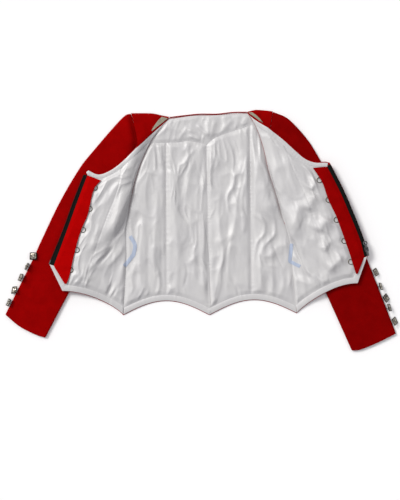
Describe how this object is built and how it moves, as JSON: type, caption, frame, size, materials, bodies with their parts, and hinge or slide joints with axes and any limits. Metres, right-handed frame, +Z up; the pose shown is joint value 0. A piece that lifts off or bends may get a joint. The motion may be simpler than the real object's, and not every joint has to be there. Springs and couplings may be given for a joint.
{
  "type": "highland dance jacket",
  "caption": "Waist-length fitted dance jacket, laid flat and opened out with its satin lining up, fronts turned out over the sleeves, open zip and square metal buttons",
  "frame": {"origin": "on the surface the jacket lies on, below the middle of its bounding box", "axes": "+Z up out of the surface, +Y towards the neck, +X towards the wearer's left; X is the longest extent and Z the shortest"},
  "size_m": [0.8286, 0.5064, 0.021],
  "materials": {
    "wool": "fine matte wool cloth",
    "satin": "white satin lining",
    "tape": "woven zip tape",
    "braid": "woven metallic braid",
    "ribbon": "satin ribbon",
    "silver": "silver plate with dark patina",
    "gunmetal": "dark plated metal"
  },
  "bodies": {
    "jacket": {"side_back_shell_right": "wool", "centre_back_shell_right": "wool", "centre_back_shell_left": "wool", "side_back_shell_left": "wool", "side_back_lining_right": "satin", "centre_back_lining_right": "satin", "centre_back_lining_left": "satin", "side_back_lining_left": "satin", "hem_band_back": "satin", "neck_facing_back": "satin", "front_shell_right": "wool", "hem_band_front_right": "satin", "neck_band_right": "satin", "centre_front_lining_right": "satin", "side_front_lining_right": "satin", "facing_right": "wool", "zip_tape_right": "tape", "zip_teeth_right": "gunmetal", "front_button_right_1": "silver", "front_button_right_2": "silver", "front_button_right_3": "silver", "front_button_right_4": "silver", "front_button_right_5": "silver", "top_sleeve_right": "wool", "under_sleeve_right": "wool", "cuff_button_right_1": "silver", "cuff_button_right_2": "silver", "cuff_button_right_3": "silver", "cuff_button_right_4": "silver", "cuff_button_right_5": "silver", "front_shell_left": "wool", "hem_band_front_left": "satin", "neck_band_left": "satin", "centre_front_lining_left": "satin", "side_front_lining_left": "satin", "facing_left": "wool", "zip_tape_left": "tape", "zip_teeth_left": "gunmetal", "front_button_left_1": "silver", "front_button_left_2": "silver", "front_button_left_3": "silver", "front_button_left_4": "silver", "front_button_left_5": "silver", "top_sleeve_left": "wool", "under_sleeve_left": "wool", "cuff_button_left_1": "silver", "cuff_button_left_2": "silver", "cuff_button_left_3": "silver", "cuff_button_left_4": "silver", "cuff_button_left_5": "silver", "neck_piping": "wool", "neck_braid_right": "braid", "hanger_ribbon_right": "ribbon", "neck_braid_left": "braid", "hanger_ribbon_left": "ribbon", "zip_box": "gunmetal", "zip_pin": "gunmetal", "zip_slider": "gunmetal"},
    "pull_tab": {"zip_pull_tab": "gunmetal"}
  },
  "joints": [
    {"name": "zip_pull_hinge", "type": "hinge", "parent": "jacket", "child": "pull_tab", "pos_m": [0.34396, -0.03877, 0.0192], "axis": [0.9734, 0.229, 0], "range_deg": [0, 150]}
  ]
}
